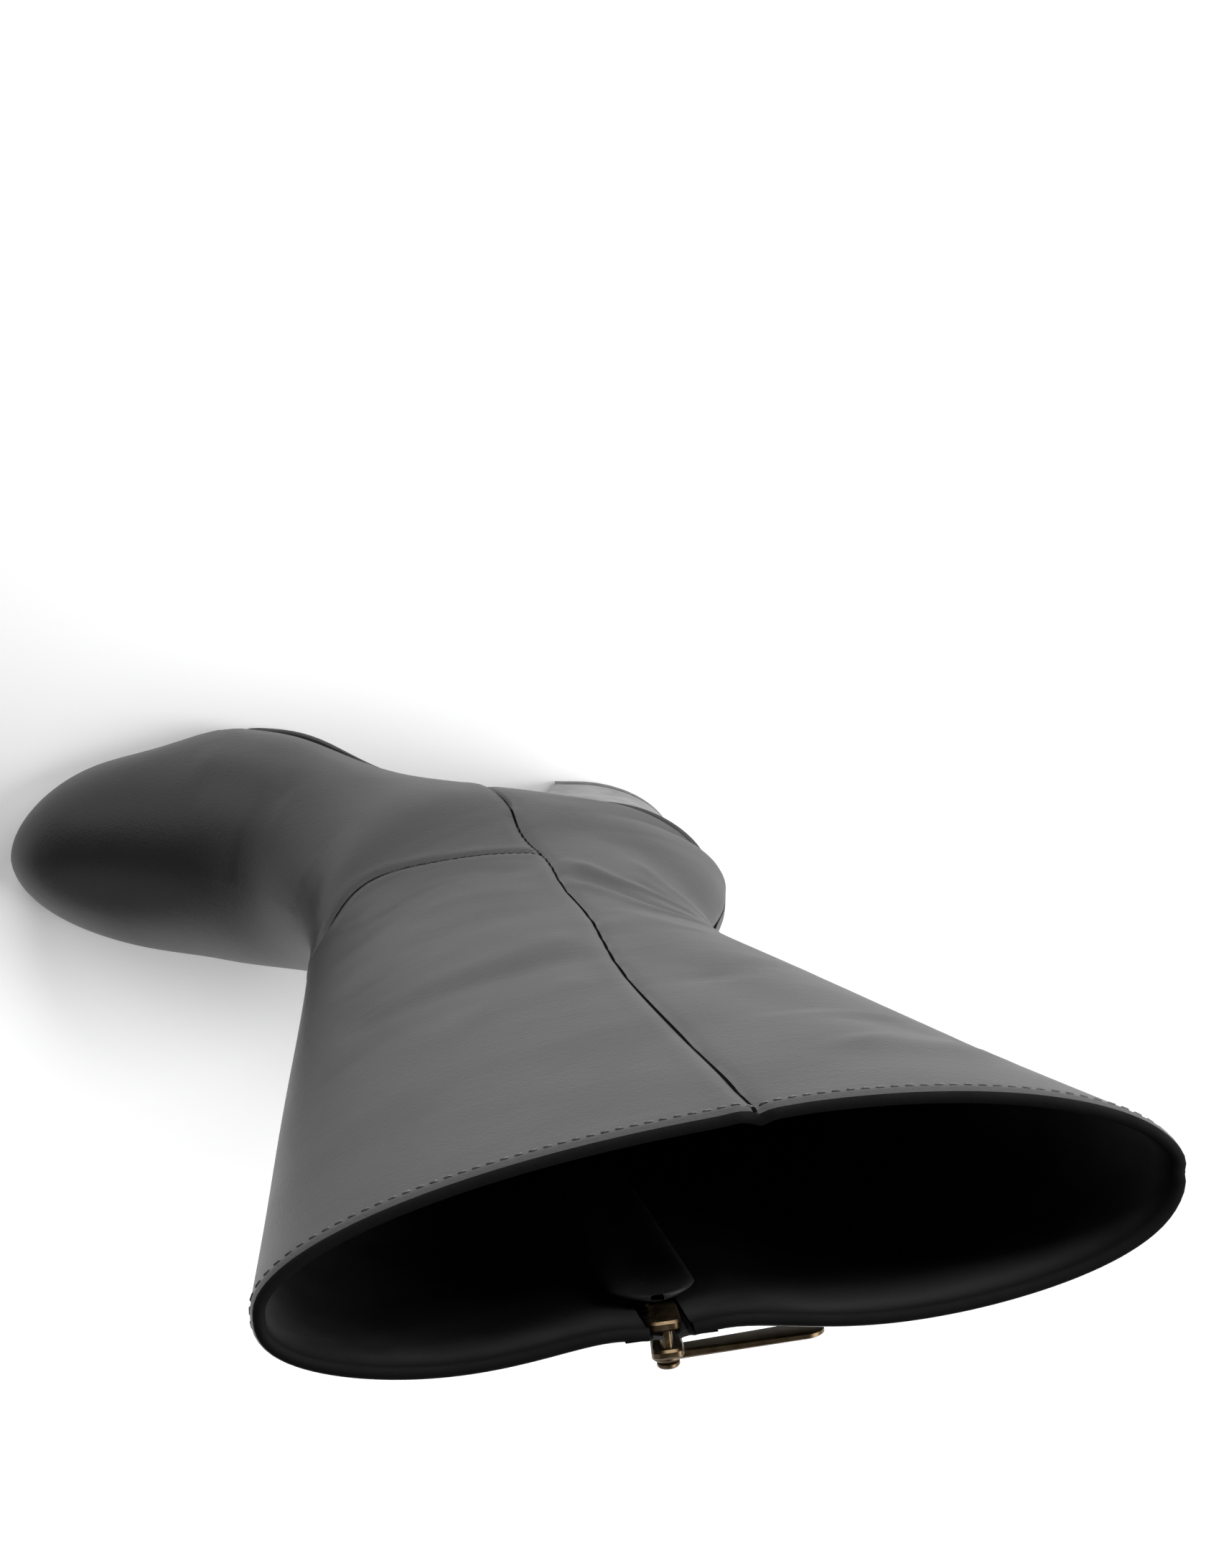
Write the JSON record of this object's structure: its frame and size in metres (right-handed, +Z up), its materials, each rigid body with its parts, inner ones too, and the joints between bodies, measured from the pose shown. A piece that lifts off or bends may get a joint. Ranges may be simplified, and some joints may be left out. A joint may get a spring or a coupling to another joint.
{
  "type": "tall boot",
  "caption": "Tall leather boot with a rounded toe, an inner side zip with a swivelling pull tab, a thin sole and a block heel, worn on the foot.",
  "frame": {"origin": "on the floor, under the middle of the boot's box", "axes": "+X to the toe, +Y to the inner side of the foot, +Z up the shaft"},
  "size_m": [0.2934, 0.0798, 0.4206],
  "materials": {
    "upper_leather": "smooth black calf, half matt",
    "insole_leather": "black sock lining on board",
    "sole_leather": "black, edges dressed",
    "heel_block": "black lacquer",
    "top_piece_rubber": "black, matt",
    "zip_brass": "antique, dull",
    "guard_leather": "black lining leather",
    "slider_brass": "antique, satin",
    "tab_brass": "antique, satin"
  },
  "bodies": {
    "boot": {"upper": "upper_leather", "insole": "insole_leather", "outsole": "sole_leather", "heel": "heel_block", "heel_top_piece": "top_piece_rubber", "zip_chain": "zip_brass", "zip_guard": "guard_leather", "zip_slider": "slider_brass"},
    "pull_tab": {"zip_pull": "tab_brass"}
  },
  "joints": [
    {"name": "pull_tab_swing", "type": "hinge", "parent": "boot", "child": "pull_tab", "pos_m": [-0.05174, 0.02256, 0.40921], "axis": [-0.1446, 0.9883, 0.0483], "continuous": true}
  ]
}
